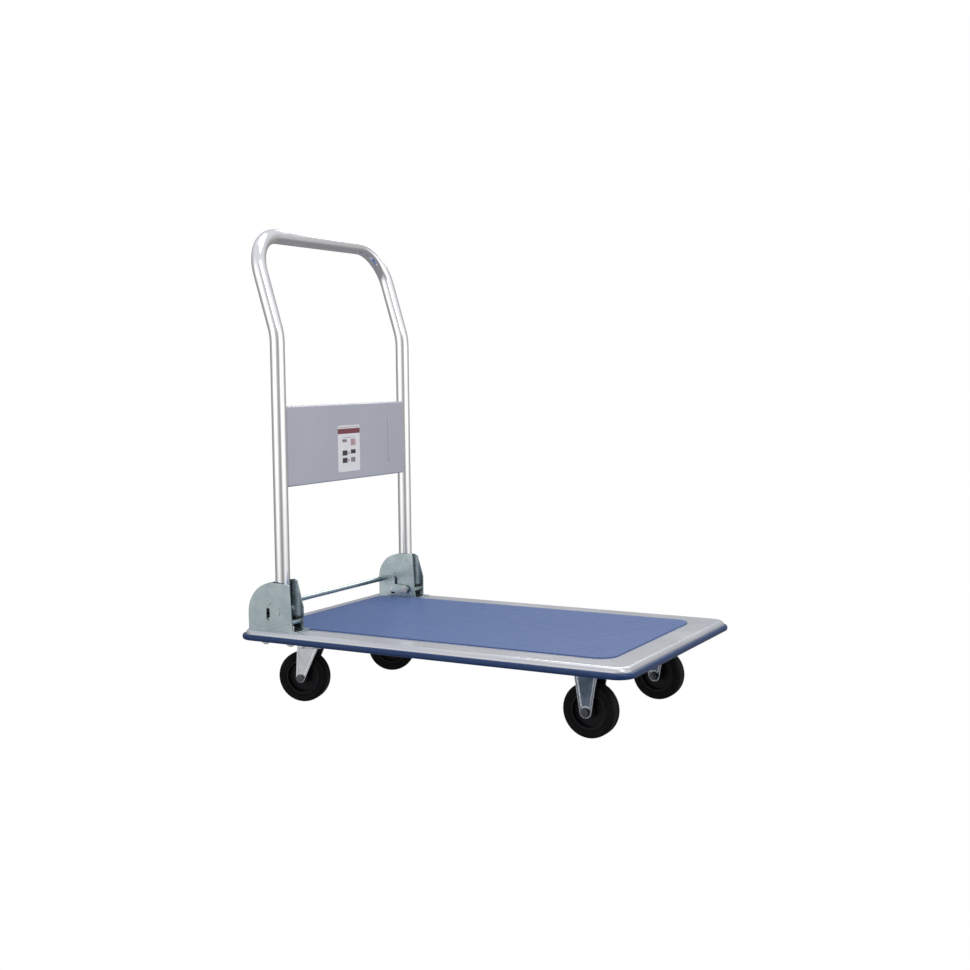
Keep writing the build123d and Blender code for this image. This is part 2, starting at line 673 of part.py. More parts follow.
def panel_label():
    middle = (PANEL_FACE_X, LABEL_Y, PANEL_MIDDLE - LABEL_DROP)
    face = Plane(origin=middle, x_dir=(0, 1, 0), z_dir=(1, 0, 0))
    return extrude(face * RectangleRounded(LABEL_WIDTH, LABEL_HEIGHT, LABEL_CORNER_R), LABEL_SHEET)


# ---- hinge brackets ---------------------------------------------------------------
def cheek_outline(rear_x, arc_r, arc_rise, top_rise, front):
    """Side of a cheek: straight foot, quarter-round back, flat top and the given front edge."""
    arc_x = rear_x + arc_r
    arc_z = DECK_TOP + arc_rise - arc_r
    back = Line((rear_x, DECK_TOP), (rear_x, arc_z))
    crown = CenterArc((arc_x, arc_z), arc_r, 90, 90)
    top = DECK_TOP + top_rise
    rest = Polyline((arc_x, arc_z + arc_r), (front[0][0], top), *front[1:], (rear_x, DECK_TOP))
    face = make_face([back, crown, *rest.edges()])
    corner = face.vertices().sort_by_distance(Vertex(front[0][0], top, 0))[0]
    return fillet(corner, HINGE_CORNER_R)


def front_edge(upright):
    """Front edge of a cheek from its top corner down: nearly upright, or leaning above a knee."""
    if upright:
        reaches = [(FRONT_TOP_REACH, 0.0), (FRONT_FOOT_REACH, 0.0)]
    else:
        reaches = [(LEAN_TOP_REACH, 0.0), (LEAN_KNEE_REACH, LEAN_KNEE_RISE), (LEAN_KNEE_REACH, 0.0)]
    return [(HINGE_REAR_X + reach, DECK_TOP + rise) for reach, rise in reaches]


def hinge_cheek(side, outer):
    """The upright front edge is on the -Y cheek of both brackets."""
    front = front_edge(upright=(side > 0) != outer)
    if outer:
        face = cheek_outline(HINGE_REAR_X, OUTER_ARC_R, OUTER_ARC_RISE, OUTER_TOP_RISE, front)
        return plate_y(face, side * (HINGE_OUTER - HINGE_SHEET), side * HINGE_OUTER)
    rear = HINGE_REAR_X + INNER_SETBACK
    face = cheek_outline(rear, INNER_ARC_R, INNER_ARC_RISE, INNER_TOP_RISE, front)
    return plate_y(face, side * HINGE_INNER, side * (HINGE_INNER + HINGE_SHEET))


def hinge_web():
    """Back wall between the cheeks, following the inner cheek, with a lip behind the tube."""
    rear = HINGE_REAR_X + INNER_SETBACK
    arc_x = rear + INNER_ARC_R
    arc_z = DECK_TOP + INNER_ARC_RISE - INNER_ARC_R
    inner_r = INNER_ARC_R - HINGE_SHEET
    lip_x = HANDLE_X - TUBE_R - STOP_GAP
    lip_angle = degrees(atan2((inner_r**2 - (lip_x - arc_x) ** 2) ** 0.5, lip_x - arc_x))
    lip_angle = max(lip_angle, 90.0)
    turn = radians(lip_angle)
    outer_end = (arc_x + INNER_ARC_R * cos(turn), arc_z + INNER_ARC_R * sin(turn))
    inner_end = (arc_x + inner_r * cos(turn), arc_z + inner_r * sin(turn))
    foot = Polyline(
        (rear, arc_z), (rear, DECK_TOP), (rear + HINGE_SHEET, DECK_TOP), (rear + HINGE_SHEET, arc_z)
    )
    outer_arc = CenterArc((arc_x, arc_z), INNER_ARC_R, lip_angle, 180 - lip_angle)
    inner_arc = CenterArc((arc_x, arc_z), inner_r, lip_angle, 180 - lip_angle)
    return make_face([*foot.edges(), outer_arc, inner_arc, Line(outer_end, inner_end)])


def latch_slot():
    """Upright slot in the inner cheek for the latch pin's travel."""
    drop = hypot(LATCH_X - ARM_PIVOT_X, LATCH_Z - ARM_PIVOT_Z) * sin(radians(PEDAL_TRAVEL))
    width = 2 * (LATCH_R + SLOT_SIDE_CLEAR)
    low = LATCH_Z - drop - width / 2 - SLOT_SIDE_CLEAR
    high = LATCH_Z + width / 2 + SLOT_END_CLEAR
    return Pos(LATCH_X, (low + high) / 2) * SlotOverall(high - low, width, rotation=90)


def latch_window():
    """Opening in the outer cheek that shows the latch pin."""
    middle = Pos(LATCH_X, DECK_TOP + WINDOW_RISE + WINDOW_HEIGHT / 2)
    return middle * SlotOverall(WINDOW_HEIGHT, WINDOW_WIDTH, rotation=90)


def hinge_bracket(side):
    y_in = side * HINGE_INNER
    y_out = side * HINGE_OUTER
    y_inside = side * (HINGE_INNER + HINGE_SHEET)
    bracket = hinge_cheek(side, True) + hinge_cheek(side, False) + plate_y(hinge_web(), y_in, y_out)
    base_y = sorted((y_in, y_out))
    rear = HINGE_REAR_X + INNER_SETBACK
    bracket += block(rear, HINGE_REAR_X + BASE_REACH, *base_y, DECK_TOP, HINGE_FLOOR)
    through = (y_in - side, y_out + side)
    bracket -= rod_y(HANDLE_X, PIVOT_Z, PIVOT_PIN_R, *through)
    bracket -= rod_y(STOP_X, PIVOT_Z + STOP_RISE, STOP_R, *through)
    bracket -= rod_y(REST_X, rest_z(), REST_R, *through)
    bracket -= plate_y(latch_slot(), y_in - side, y_inside + side)
    bracket -= plate_y(latch_window(), y_inside + side, y_out + side)
    bracket -= rod_y(ARM_PIVOT_X, ARM_PIVOT_Z, ARM_PIN_R, y_in - side, y_inside)
    for x in HINGE_BOLT_X:
        bracket -= rod_z(x, side * HANDLE_Y, BOLT_R + BOLT_CLEAR, DECK_TOP - 1, HINGE_FLOOR + 1)
    return bracket


def rest_z():
    """Height of the pin that carries the folded handle."""
    return PIVOT_Z - TUBE_R - REST_GAP - REST_R


def pivot_pin(side):
    """Headed outside, flush inside."""
    shank = rod_y(HANDLE_X, PIVOT_Z, PIVOT_PIN_R, side * HINGE_INNER, side * HINGE_OUTER)
    head = rod_y(HANDLE_X, PIVOT_Z, PIVOT_HEAD_R, side * HINGE_OUTER, side * (HINGE_OUTER + PIVOT_HEAD))
    return shank + head


def stop_pin(side):
    z = PIVOT_Z + STOP_RISE
    return rod_y(STOP_X, z, STOP_R, side * (HINGE_INNER - PIN_PROUD), side * (HINGE_OUTER + PIN_PROUD))


def fold_rest_pin(side):
    return rod_y(REST_X, rest_z(), REST_R, side * HINGE_INNER, side * HINGE_OUTER)


def hinge_spacer(x, y):
    tube = rod_z(x, y, BOLT_R + BOLT_CLEAR + SPACER_WALL, CROSS_WEB_TOP, DECK_UNDER)
    return tube - rod_z(x, y, BOLT_R + BOLT_CLEAR, CROSS_WEB_TOP, DECK_UNDER)


# ---- foot release -----------------------------------------------------------------
def release_arm(side):
    """Hooked link: pedal rod, knee, latch eye and pivot eye."""
    pedal = (PEDAL_X, PEDAL_Z, ARM_END_R)
    knee = (ARM_PIVOT_X - ARM_KNEE_BACK, ARM_PIVOT_Z + ARM_KNEE_LIFT, ARM_KNEE_R)
    latch = (LATCH_X, LATCH_Z, ARM_EYE_R)
    pivot = (ARM_PIVOT_X, ARM_PIVOT_Z, ARM_EYE_R)
    outline = hull_outline([pedal, knee]) + hull_outline([knee, latch]) + hull_outline([latch, pivot])
    arm = plate_y(outline, side * ARM_INNER, side * ARM_OUTER)
    ends = (side * (ARM_INNER - 1), side * (ARM_OUTER + 1))
    arm -= rod_y(ARM_PIVOT_X, ARM_PIVOT_Z, ARM_PIN_R + RUN_CLEAR, *ends)
    arm -= rod_y(LATCH_X, LATCH_Z, LATCH_R, *ends)
    return arm - rod_y(PEDAL_X, PEDAL_Z, PEDAL_ROD_R, *ends)


def release_rod():
    reach = ARM_OUTER + ARM_GAP / 2
    return rod_y(PEDAL_X, PEDAL_Z, PEDAL_ROD_R, -reach, reach)


def latch_pin(side):
    """From the release arm to just short of the outer cheek."""
    end = HINGE_OUTER - HINGE_SHEET - BUSH_SIDE_GAP
    return rod_y(LATCH_X, LATCH_Z, LATCH_R, side * ARM_INNER, side * end)


def arm_pin(side):
    """Shouldered rivet on the bracket's inner cheek that carries the release arm."""
    shank = rod_y(
        ARM_PIVOT_X,
        ARM_PIVOT_Z,
        ARM_PIN_R,
        side * (ARM_INNER - AXIAL_GAP),
        side * (HINGE_INNER + HINGE_SHEET),
    )
    collar = rod_y(
        ARM_PIVOT_X, ARM_PIVOT_Z, ARM_COLLAR_R, side * (ARM_OUTER + AXIAL_GAP), side * HINGE_INNER
    )
    head_end = side * (ARM_INNER - AXIAL_GAP - ARM_PIN_HEAD)
    head = rod_y(ARM_PIVOT_X, ARM_PIVOT_Z, ARM_PIN_HEAD_R, head_end, side * (ARM_INNER - AXIAL_GAP))
    return shank + collar + head


def latch_spring(side):
    """Compression spring between the bracket's floor and the latch pin."""
    low = HINGE_FLOOR + SPRING_WIRE_R
    high = LATCH_Z - LATCH_R - SPRING_WIRE_R - SPRING_END_GAP
    coil = Helix((high - low) / SPRING_TURNS, high - low, SPRING_R)
    coil = Pos(LATCH_X, side * HANDLE_Y, low) * coil
    section = Plane(origin=coil @ 0, z_dir=coil % 0) * Circle(SPRING_WIRE_R)
    return sweep(section, path=coil, is_frenet=True)


# ---- write the nodes --------------------------------------------------------------
def write_deck():
    save("deck_plate", deck_plate())
    save("deck_mat", deck_mat())
    save("edge_bumper", edge_bumper())
    save("front_crossmember", crossmember(front_cross_span(), FRONT_CASTER_X))
    save("rear_crossmember", crossmember(rear_cross_span(), REAR_CASTER_X, hinge_bolt_places()))
    for name, side in SIDES.items():
        save("deck_rail_" + name, deck_rail(side))
    save("caster_bolts", *[bolt_down(x, y, CROSS_WEB_TOP, PLATE_UNDER) for x, y in caster_places()])
    save("caster_nuts", *[nut_below(x, y, PLATE_UNDER) for x, y in caster_places()])
    hinge_places = hinge_bolt_places()
    save("hinge_bolts", *[bolt_down(x, y, HINGE_FLOOR, CASTER_SEAT) for x, y in hinge_places])
    save("hinge_nuts", *[nut_below(x, y, CASTER_SEAT) for x, y in hinge_places])
    save("hinge_spacers", *[hinge_spacer(x, y) for x, y in hinge_places])


def write_wheel(prefix, place, axle_x):
    save(prefix + "_tyre", place * tyre(axle_x))
    save(prefix + "_wheel_core", place * wheel_core(axle_x))
    save(prefix + "_wheel_bush", place * wheel_bush(axle_x))


def write_casters():
    axle_bolts = []
    axle_nuts = []
    for name, side in SIDES.items():
        place = Pos(FRONT_CASTER_X, side * CASTER_Y, 0)
        save("front_" + name + "_fork", place * rigid_fork())
        write_wheel("front_" + name, place, 0.0)
        axle_bolts.append(place * axle_bolt(0.0, side))
        axle_nuts.append(place * axle_nut(0.0, side))
        fixed = Pos(REAR_CASTER_X, side * CASTER_Y, 0)
        turned = fixed * Rot(0, 0, SWIVEL_REST[name])
        prefix = "rear_" + name
        save(prefix + "_swivel_plate", fixed * swivel_plate())
        save(prefix + "_kingpin", fixed * kingpin())
        save(prefix + "_swivel_balls", *[fixed * ball for ball in swivel_balls()])
        save(prefix + "_fork", turned * swivel_fork())
        save(prefix + "_axle_bolt", turned * axle_bolt(-SWIVEL_TRAIL, side))
        save(prefix + "_axle_nut", turned * axle_nut(-SWIVEL_TRAIL, side))
        write_wheel(prefix, turned, -SWIVEL_TRAIL)
    save("front_axle_bolts", *axle_bolts)
    save("front_axle_nuts", *axle_nuts)


def write_handle():
    save("handle_tube", handle_tube())
    save("tube_plugs", *[tube_plug(side) for side in SIDES.values()])
    save("pivot_bushes", *[pivot_bush(side) for side in SIDES.values()])
    save("handle_panel", handle_panel())
    save("panel_rivets", *panel_rivets())
    save("panel_label", panel_label())


def write_hinges():
    for name, side in SIDES.items():
        save("hinge_bracket_" + name, hinge_bracket(side))
        save("release_arm_" + name, release_arm(side))
    save("pivot_pins", *[pivot_pin(side) for side in SIDES.values()])
    save("stop_pins", *[stop_pin(side) for side in SIDES.values()])
    save("fold_rest_pins", *[fold_rest_pin(side) for side in SIDES.values()])
    save("release_rod", release_rod())
    save("latch_pins", *[latch_pin(side) for side in SIDES.values()])
    save("arm_pins", *[arm_pin(side) for side in SIDES.values()])
    save("latch_springs", *[latch_spring(side) for side in SIDES.values()])


write_deck()
write_casters()
write_handle()
write_hinges()
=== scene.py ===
"""Folding-handle platform truck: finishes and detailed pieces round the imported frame.

Metres, +Z up, +X towards the load end, handle at -X, origin on the floor under the deck.
"""

import json
import math

import bmesh
import bpy
from mathutils import Matrix, Vector


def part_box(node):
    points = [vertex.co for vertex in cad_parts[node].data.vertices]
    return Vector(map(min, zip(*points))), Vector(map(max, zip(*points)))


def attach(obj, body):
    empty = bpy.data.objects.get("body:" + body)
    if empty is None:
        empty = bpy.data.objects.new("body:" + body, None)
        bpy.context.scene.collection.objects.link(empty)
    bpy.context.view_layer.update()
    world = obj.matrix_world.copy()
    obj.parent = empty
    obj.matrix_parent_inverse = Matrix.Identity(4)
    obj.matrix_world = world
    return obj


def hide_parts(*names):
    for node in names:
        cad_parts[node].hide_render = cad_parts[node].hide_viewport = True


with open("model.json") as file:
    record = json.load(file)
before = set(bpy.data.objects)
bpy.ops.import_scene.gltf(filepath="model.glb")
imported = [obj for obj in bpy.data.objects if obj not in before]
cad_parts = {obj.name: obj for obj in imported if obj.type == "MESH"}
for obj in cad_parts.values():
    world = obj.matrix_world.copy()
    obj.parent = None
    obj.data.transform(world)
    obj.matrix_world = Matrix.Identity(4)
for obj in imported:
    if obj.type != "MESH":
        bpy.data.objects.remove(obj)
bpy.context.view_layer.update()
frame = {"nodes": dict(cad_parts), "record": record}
NODES = frame["nodes"]
MM = 0.001


# ---- shader building blocks -------------------------------------------------------
NOISE_LOW = 0.3
NOISE_HIGH = 0.7
EDGE_FLAT = 0.985
EDGE_SHARP = 0.8
SOFT_SAMPLES = 6


def set_input(tree, node, key, value):
    """Links a socket to an input, or sets the input's own value."""
    if isinstance(value, bpy.types.NodeSocket):
        tree.links.new(value, node.inputs[key])
    else:
        node.inputs[key].default_value = value


def add_node(tree, kind, inputs=None, **settings):
    node = tree.nodes.new(kind)
    for key, value in settings.items():
        setattr(node, key, value)
    for key, value in (inputs or {}).items():
        set_input(tree, node, key, value)
    return node


class Finish:
    """One material with a Principled shader and a few procedural helpers."""

    def __init__(self, name, colour, metallic, roughness, **sockets):
        self.material = bpy.data.materials.new(name)
        self.material.use_nodes = True
        self.tree = self.material.node_tree
        self.shader = self.tree.nodes["Principled BSDF"]
        self.shade("Base Color", (*colour, 1.0))
        self.shade("Metallic", metallic)
        self.shade("Roughness", roughness)
        for key, value in sockets.items():
            self.shade(key.replace("_", " "), value)
        self.place = self.put("ShaderNodeTexCoord").outputs["Object"]

    def put(self, kind, inputs=None, **settings):
        return add_node(self.tree, kind, inputs, **settings)

    def shade(self, key, value):
        set_input(self.tree, self.shader, key, value)

    def stretched(self, x, y, z):
        """Object coordinates with each axis scaled, for streaks and brushing."""
        return self.put("ShaderNodeMapping", {"Vector": self.place, "Scale": (x, y, z)}).outputs[0]

    def noise(self, scale, detail=3.0, rough=0.55, place=None):
        inputs = {"Vector": place or self.place, "Scale": scale, "Detail": detail, "Roughness": rough}
        return self.put("ShaderNodeTexNoise", inputs).outputs["Fac"]

    def cells(self, scale, feature="F1"):
        inputs = {"Vector": self.place, "Scale": scale}
        return self.put("ShaderNodeTexVoronoi", inputs, feature=feature).outputs["Distance"]

    def span(self, value, low, high, out_low=0.0, out_high=1.0):
        keys = ("Value", "From Min", "From Max", "To Min", "To Max")
        inputs = dict(zip(keys, (value, low, high, out_low, out_high)))
        return self.put("ShaderNodeMapRange", inputs).outputs["Result"]

    def clouds(self, scale, detail=3.0, out_low=0.0, out_high=1.0):
        """Noise spread over its usual range, from one value to the other."""
        return self.span(self.noise(scale, detail), NOISE_LOW, NOISE_HIGH, out_low, out_high)

    def sums(self, a, b):
        return self.put("ShaderNodeMath", {0: a, 1: b}, operation="ADD").outputs[0]

    def blend(self, factor, first, second):
        first = (*first, 1.0) if isinstance(first, tuple) else first
        second = (*second, 1.0) if isinstance(second, tuple) else second
        return self.put("ShaderNodeMix", {0: factor, 6: first, 7: second}, data_type="RGBA").outputs[2]

    def edges(self, size, samples=4):
        """1 on sharp outer edges and 0 elsewhere."""
        bevel = self.put("ShaderNodeBevel", {"Radius": size}, samples=samples).outputs[0]
        normal = self.put("ShaderNodeNewGeometry").outputs["Normal"]
        dot = self.put("ShaderNodeVectorMath", {0: bevel, 1: normal}, operation="DOT_PRODUCT")
        return self.span(dot.outputs["Value"], EDGE_FLAT, EDGE_SHARP)

    def colour(self, value):
        self.shade("Base Color", value)

    def rough(self, value):
        self.shade("Roughness", value)

    def bump(self, height, distance, strength=1.0, soft=0.0):
        """Fine relief, over edges that look rounded by the soft radius."""
        inputs = {"Height": height, "Distance": distance, "Strength": strength}
        if soft:
            bevel = self.put("ShaderNodeBevel", {"Radius": soft}, samples=SOFT_SAMPLES)
            inputs["Normal"] = bevel.outputs[0]
        self.shade("Normal", self.put("ShaderNodeBump", inputs).outputs[0])


def silver_paint():
    finish = Finish("silver_paint", (0.50, 0.52, 0.55), 0.50, 0.26, Coat_Weight=0.3, Coat_Roughness=0.12)
    broad = finish.noise(7.0, 2.0)
    painted_warm_reflection = finish.noise(2.2, 1.0)
    tone = finish.blend(finish.span(broad, 0.35, 0.65), (0.48, 0.505, 0.54), (0.55, 0.57, 0.60))
    # painted reflection: broad patches drift towards a pale, warm pinkish silver
    finish.colour(finish.blend(finish.span(painted_warm_reflection, 0.4, 0.6, 0.0, 0.4), tone, (0.60, 0.58, 0.60)))
    finish.rough(finish.clouds(9.0, 3.0, 0.22, 0.30))
    finish.bump(finish.noise(24.0, 1.0), 0.03 * MM, 0.3)
    return finish.material


def blue_vinyl():
    finish = Finish("blue_vinyl", (0.10, 0.15, 0.33), 0.0, 0.46, Specular_IOR_Level=0.16)
    grain = finish.cells(820.0, feature="SMOOTH_F1")
    wander = finish.noise(190.0, 4.0)
    broad = finish.noise(3.0, 2.0, place=finish.stretched(1.0, 1.0, 0.0))
    fade = finish.span(broad, NOISE_LOW, NOISE_HIGH)
    tone = finish.blend(fade, (0.066, 0.120, 0.282), (0.080, 0.136, 0.305))
    pores = finish.span(grain, 0.15, 0.75, 0.0, 0.28)
    tone = finish.blend(pores, tone, (0.060, 0.085, 0.20))
    # painted shade: the mat darkens along its outer edges
    finish.colour(finish.blend(finish.edges(1.2 * MM), tone, (0.05, 0.075, 0.17)))
    finish.rough(finish.clouds(60.0, 5.0, 0.40, 0.50))
    finish.bump(finish.sums(grain, wander), 0.10 * MM, 0.55)
    return finish.material


def navy_bumper():
    shine = {"Specular_IOR_Level": 0.3, "Coat_Weight": 0.08}
    finish = Finish("navy_bumper", (0.004, 0.032, 0.13), 0.0, 0.32, **shine)
    scuff = finish.noise(1.0, 5.0, place=finish.stretched(22.0, 22.0, 260.0))
    tone = finish.blend(finish.span(scuff, 0.5, 0.8), (0.003, 0.026, 0.105), (0.008, 0.045, 0.15))
    finish.colour(tone)
    finish.rough(finish.clouds(90.0, 4.0, 0.26, 0.40))
    finish.bump(finish.noise(700.0, 3.0), 0.03 * MM, 0.4)
    return finish.material


def zinc(name, light, dark, low, high, grain=(1.0, 1.0, 1.0), soft=0.0):
    """Bright zinc plate: soft cloudy colour, fine brushing and paler edges, partly wear and partly painted
    highlight.
    """
    finish = Finish(name, light, 1.0, (low + high) / 2)
    cloud = finish.noise(38.0, 4.0)
    tone = finish.blend(finish.span(cloud, 0.32, 0.68), dark, light)
    wear_and_edge_highlight = tuple(min(1.0, 1.5 * c) for c in light)
    # paler edges: partly wear, partly a painted highlight along the edges
    finish.colour(finish.blend(finish.edges(0.6 * MM), tone, wear_and_edge_highlight))
    brushed = finish.noise(1.0, 3.0, place=finish.stretched(*(900.0 * g for g in grain)))
    finish.rough(finish.clouds(120.0, 5.0, low, high))
    finish.bump(brushed, 0.01 * MM, 0.3, soft)
    return finish.material


def pressed_steel(name, light, dark):
    """Bright pressings: plain middle, with a painted highlight on the rolled borders."""
    finish = Finish(name, light, 1.0, 0.28)
    cloud = finish.noise(38.0, 4.0)
    tone = finish.blend(finish.span(cloud, 0.32, 0.68), dark, light)
    # painted highlight: near-white band along the rolled borders
    finish.colour(finish.blend(finish.edges(3.2 * MM, 8), tone, (0.93, 0.94, 0.95)))
    finish.rough(finish.clouds(120.0, 5.0, 0.22, 0.32))
    brushed = finish.noise(1.0, 3.0, place=finish.stretched(400.0, 400.0, 40.0))
    finish.bump(brushed, 0.01 * MM, 0.3, 1.6 * MM)
    return finish.material


def bright_tube():
    """Satin bright plating with drawing lines along the tube."""
    finish = Finish("bright_tube", (0.84, 0.84, 0.85), 1.0, 0.12)
    lines = finish.noise(1.0, 3.0, place=finish.stretched(1500.0, 1500.0, 30.0))
    finish.colour(finish.blend(finish.clouds(16.0), (0.81, 0.81, 0.82), (0.87, 0.87, 0.87)))
    finish.rough(finish.clouds(70.0, 4.0, 0.08, 0.16))
    finish.bump(lines, 0.008 * MM, 0.4)
    return finish.material


def grey_enamel():
    finish = Finish("grey_enamel", (0.43, 0.44, 0.50), 0.0, 0.34, Coat_Weight=0.3, Coat_Roughness=0.15)
    tone = finish.blend(finish.clouds(5.0), (0.415, 0.42, 0.475), (0.445, 0.45, 0.51))
    # painted shade: the panel darkens along its rolled edges
    finish.colour(finish.blend(finish.edges(1.5 * MM), tone, (0.21, 0.225, 0.26)))
    finish.rough(finish.clouds(45.0, 4.0, 0.30, 0.42))
    finish.bump(finish.noise(330.0, 2.0), 0.05 * MM, 0.35)
    return finish.material


def black_rubber():
    finish = Finish("black_rubber", (0.004, 0.004, 0.005), 0.0, 0.6, Specular_IOR_Level=0.10)
    dust = finish.noise(55.0, 6.0, 0.65)
    finish.colour(finish.blend(finish.span(dust, 0.45, 0.8), (0.003, 0.0035, 0.004), (0.010, 0.010, 0.010)))
    finish.rough(finish.clouds(140.0, 4.0, 0.46, 0.66))
    finish.bump(finish.sums(finish.noise(650.0, 3.0), finish.cells(300.0)), 0.06 * MM, 0.4)
    return finish.material


def plain_plastic(name, colour, shade, low, high, shine=0.5):
    finish = Finish(name, colour, 0.0, (low + high) / 2, Specular_IOR_Level=shine)
    finish.colour(finish.blend(finish.clouds(80.0, 4.0), colour, shade))
    finish.rough(finish.clouds(160.0, 3.0, low, high))
    finish.bump(finish.noise(800.0, 2.0), 0.02 * MM, 0.4)
    return finish.material


BRACKET_LIGHT = (0.44, 0.51, 0.52)
BRACKET_DARK = (0.34, 0.41, 0.43)
BRACKET_GRAIN = (1.0, 1.0, 0.05)
FINISHES = {
    "silver_deck": silver_paint(),
    "blue_mat": blue_vinyl(),
    "blue_bumper": navy_bumper(),
    "zinc_bracket": zinc("zinc_bracket", BRACKET_LIGHT, BRACKET_DARK, 0.22, 0.34, BRACKET_GRAIN, 0.8 * MM),
    "zinc_hardware": zinc(
        "zinc_hardware", (0.56, 0.57, 0.56), (0.42, 0.43, 0.43), 0.20, 0.34, soft=0.4 * MM
    ),
    "spring_steel": zinc("spring_steel", (0.33, 0.33, 0.34), (0.22, 0.22, 0.23), 0.30, 0.42),
    "bearing_steel": zinc("bearing_steel", (0.80, 0.80, 0.80), (0.72, 0.72, 0.73), 0.05, 0.12),
    "caster_steel": pressed_steel("caster_steel", (0.60, 0.62, 0.64), (0.50, 0.52, 0.54)),
    "chrome_tube": bright_tube(),
    "grey_panel": grey_enamel(),
    "label_print": plain_plastic("label_film", (0.80, 0.79, 0.80), (0.74, 0.73, 0.74), 0.28, 0.38),
    "plug_plastic": plain_plastic("plug_plastic", (0.022, 0.022, 0.023), (0.035, 0.035, 0.035), 0.40, 0.55),
    "tyre_rubber": black_rubber(),
    "core_plastic": plain_plastic(
        "core_plastic", (0.005, 0.005, 0.007), (0.009, 0.009, 0.011), 0.40, 0.5, 0.14
    ),
    "axle_steel": zinc("axle_steel", (0.10, 0.10, 0.105), (0.05, 0.05, 0.055), 0.28, 0.40, soft=0.3 * MM),
    "bush_nylon": plain_plastic("bush_nylon", (0.72, 0.70, 0.63), (0.62, 0.60, 0.53), 0.35, 0.5),
}
FRONT_FORKS = ("front_left_fork", "front_right_fork")
# painted shade: the front forks get a dark bluish copy of the caster steel
SHADED_FRONT_FORK = pressed_steel("front_fork_steel_painted_shade", (0.13, 0.16, 0.21), (0.05, 0.07, 0.10))
HEADER_RED = plain_plastic("label_red", (0.16, 0.035, 0.055), (0.21, 0.05, 0.07), 0.3, 0.42)
MARK_GREY = plain_plastic("label_grey", (0.17, 0.15, 0.16), (0.25, 0.22, 0.23), 0.3, 0.42)
MARK_DARK = plain_plastic("label_dark", (0.030, 0.022, 0.026), (0.05, 0.04, 0.045), 0.3, 0.42)
MARK_PINK = plain_plastic("label_pink", (0.42, 0.25, 0.28), (0.50, 0.33, 0.35), 0.3, 0.42)


def dress_nodes():
    """Gives every carried-over node its slot's finish, and the front forks a darker copy with painted
    shade.
    """
    for entry in frame["record"]["subparts"]:
        node = NODES[entry["node"]]
        node.data.materials.clear()
        finish = FINISHES[entry["material_slot"]]
        if entry["node"] in FRONT_FORKS:
            finish = SHADED_FRONT_FORK
        node.data.materials.append(finish)


dress_nodes()


# ---- detailed pieces --------------------------------------------------------------
def keep(bm, name, finish, body, smooth=True):
    """Turns a bmesh into a piece that rides on a body."""
    bmesh.ops.recalc_face_normals(bm, faces=bm.faces)
    mesh = bpy.data.meshes.new(name)
    bm.to_mesh(mesh)
    bm.free()
    for face in mesh.polygons:
        face.use_smooth = smooth
    mesh.materials.append(finish)
    piece = bpy.data.objects.new(name, mesh)
    bpy.context.scene.collection.objects.link(piece)
    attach(piece, body)
    return piece


LABEL_LOW, LABEL_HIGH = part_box("panel_label")
PRINT_THICK = 0.06 * MM


def printed(name, finish, areas):
    """Flat printed areas on the label, given as shares of its width and height."""
    width = LABEL_HIGH[1] - LABEL_LOW[1]
    height = LABEL_HIGH[2] - LABEL_LOW[2]
    bm = bmesh.new()
    for left, right, low, high in areas:
        size = (PRINT_THICK, (right - left) * width, (high - low) * height)
        place = (
            LABEL_HIGH[0] + PRINT_THICK / 2,
            LABEL_LOW[1] + (left + right) / 2 * width,
            LABEL_LOW[2] + (low + high) / 2 * height,
        )
        matrix = Matrix.Translation(place) @ Matrix.Diagonal((*size, 1.0))
        bmesh.ops.create_cube(bm, size=1.0, matrix=matrix)
    return keep(bm, name, finish, "handle", smooth=False)


def label_print():
    """A header bar over two columns of plain blocks that darken downwards."""
    printed("label_header", HEADER_RED, [(0.0, 1.0, 0.82, 0.93)])
    printed("label_rules", MARK_GREY, [(0.05, 0.95, 0.955, 0.965), (0.22, 0.78, 0.73, 0.738)])
    printed("label_blocks_grey", MARK_GREY, [(0.20, 0.40, 0.64, 0.70), (0.58, 0.78, 0.20, 0.30)])
    pink = [(0.58, 0.80, 0.56, 0.70), (0.44, 0.52, 0.38, 0.42), (0.44, 0.52, 0.22, 0.26)]
    printed("label_blocks_pink", MARK_PINK, pink)
    dark = [(0.20, 0.42, 0.35, 0.46), (0.58, 0.80, 0.38, 0.47), (0.20, 0.42, 0.19, 0.30)]
    printed("label_blocks_dark", MARK_DARK, dark)


label_print()

WHEEL_R = 45.0 * MM
WHEEL_TURN = {"front_left": 0.0, "front_right": 0.0, "rear_left": 25.0, "rear_right": 15.0}
TYRE_HALF = 14.0 * MM
TYRE_BORE = 31.0 * MM
TYRE_STEPS = 96
TYRE_CORNER_R = 6.0 * MM
TYRE_CORNER_PARTS = 6
CORNER_BELOW_TREAD = 6.2 * MM
CORNER_INSIDE_WALL = 6.1 * MM
# Side wall from the bore outwards: millimetres past the bore, and millimetres sunk into the wall.
SIDE_RINGS = (
    (0.0, 0.6),
    (0.6, 0.0),
    (1.8, 0.0),
    (2.2, 0.5),
    (5.6, 0.4),
    (6.0, 0.0),
    (6.8, 0.0),
    (7.2, 0.35),
)
# Tread and its mould line: millimetres under the wheel radius, and millimetres from the middle.
TREAD = ((0.06, 4.0), (0.02, 0.7), (0.35, 0.35))


def tyre_section():
    """Half section as (radius, offset) from the bore up the side wall to the middle of the tread."""
    wall = [(TYRE_BORE + past * MM, TYRE_HALF - sunk * MM) for past, sunk in SIDE_RINGS]
    for step in range(TYRE_CORNER_PARTS + 1):
        turn = math.radians(90.0 / TYRE_CORNER_PARTS * step)
        radius = WHEEL_R - CORNER_BELOW_TREAD + TYRE_CORNER_R * math.sin(turn)
        wall.append((radius, TYRE_HALF - CORNER_INSIDE_WALL + TYRE_CORNER_R * math.cos(turn)))
    return wall + [(WHEEL_R - under * MM, offset * MM) for under, offset in TREAD]


